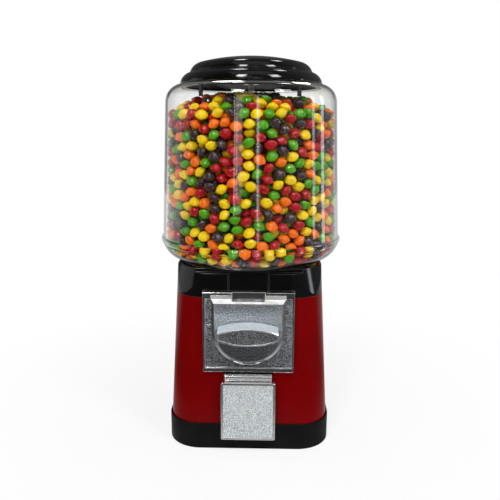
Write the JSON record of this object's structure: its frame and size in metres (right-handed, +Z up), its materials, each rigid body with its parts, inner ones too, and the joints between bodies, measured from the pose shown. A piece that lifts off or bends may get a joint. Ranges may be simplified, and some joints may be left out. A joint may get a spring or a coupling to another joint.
{
  "type": "gumball machine",
  "caption": "Coin-operated gumball machine: clear candy globe on a red tapered body with a black base, lift-off lid, turning coin handle, geared candy wheel and swinging chute flap.",
  "frame": {"origin": "centre of the base's underside, at the mouth of the stand hole", "axes": "+Z up, -Y towards the front with the coin handle, +X to the right seen from the front"},
  "size_m": [0.2246, 0.2393, 0.4591],
  "materials": {
    "base_black": "satin black moulded plastic",
    "body_red": "deep gloss red paint on sheet steel",
    "gloss_black": "gloss black moulded plastic",
    "clear_globe": "clear polished plastic",
    "candy": "sugar-shelled candy in five colours",
    "seal_rubber": "black rubber",
    "chrome": "chromed die casting, stippled fields and polished borders",
    "lock_chrome": "bright chrome",
    "steel": "zinc-plated steel",
    "cast_zinc": "plain light-alloy casting",
    "bush_brass": "plain brass",
    "gear_nylon": "natural moulded plastic",
    "chute_black": "black moulded plastic",
    "bristle": "black bristle block",
    "box_grey": "grey moulded plastic"
  },
  "bodies": {
    "cabinet": {"base_tray": "base_black", "base_screws": "steel", "body_shell": "body_red", "hopper_cap": "gloss_black", "cap_screws": "steel", "globe_gasket": "seal_rubber", "globe": "clear_globe", "candy_fill": "candy", "center_rod": "steel", "rod_nuts": "steel", "rod_bracket": "steel", "bracket_screws": "steel", "brush_housing": "chute_black", "brush": "bristle", "chute": "chute_black", "chute_screws": "steel", "flap_pin": "steel", "coin_box": "box_grey", "mech_face": "chrome", "mech_nuts": "steel", "mech_housing": "steel", "housing_screws": "steel", "shaft_bushes": "bush_brass", "pawl_pin": "steel", "pawl_spring": "steel"},
    "handle": {"turn_handle": "chrome", "handle_shaft": "steel", "handle_pin": "steel", "coin_carrier": "cast_zinc", "ratchet_wheel": "steel", "drive_pinion": "gear_nylon", "shaft_nut": "steel"},
    "wheel": {"candy_wheel": "gear_nylon", "wheel_gear": "gear_nylon", "gear_screws": "steel"},
    "flap": {"chute_flap": "chrome"},
    "lid": {"lid": "gloss_black", "lock_housing": "lock_chrome", "lock_nut": "lock_chrome"},
    "lock": {"lock_plug": "chrome"},
    "pawl": {"ratchet_pawl": "steel"}
  },
  "joints": [
    {"name": "handle_turn", "type": "hinge", "parent": "cabinet", "child": "handle", "pos_m": [0, -0.09603, 0.1505], "axis": [0, 1, 0], "continuous": true},
    {"name": "wheel_turn", "type": "hinge", "parent": "cabinet", "child": "wheel", "pos_m": [0, 0, 0.19], "axis": [0, 0, 1], "continuous": true},
    {"name": "flap_swing", "type": "hinge", "parent": "cabinet", "child": "flap", "pos_m": [0, -0.09723, 0.0914], "axis": [-1, 0, 0], "range_deg": [0, 75]},
    {"name": "lid_lift", "type": "slide", "parent": "cabinet", "child": "lid", "axis": [0, 0, 1], "range_m": [0, 0.06]},
    {"name": "lock_turn", "type": "hinge", "parent": "lid", "child": "lock", "pos_m": [0, 0, 0.44], "axis": [0, 0, 1], "range_deg": [0, 90]},
    {"name": "pawl_lift", "type": "hinge", "parent": "cabinet", "child": "pawl", "pos_m": [0.025, -0.083, 0.1665], "axis": [0, -1, 0], "range_deg": [0, 12]}
  ],
  "couplings": [
    {"joint": "wheel_turn", "follows": "handle_turn", "ratio": 0.16667}
  ]
}
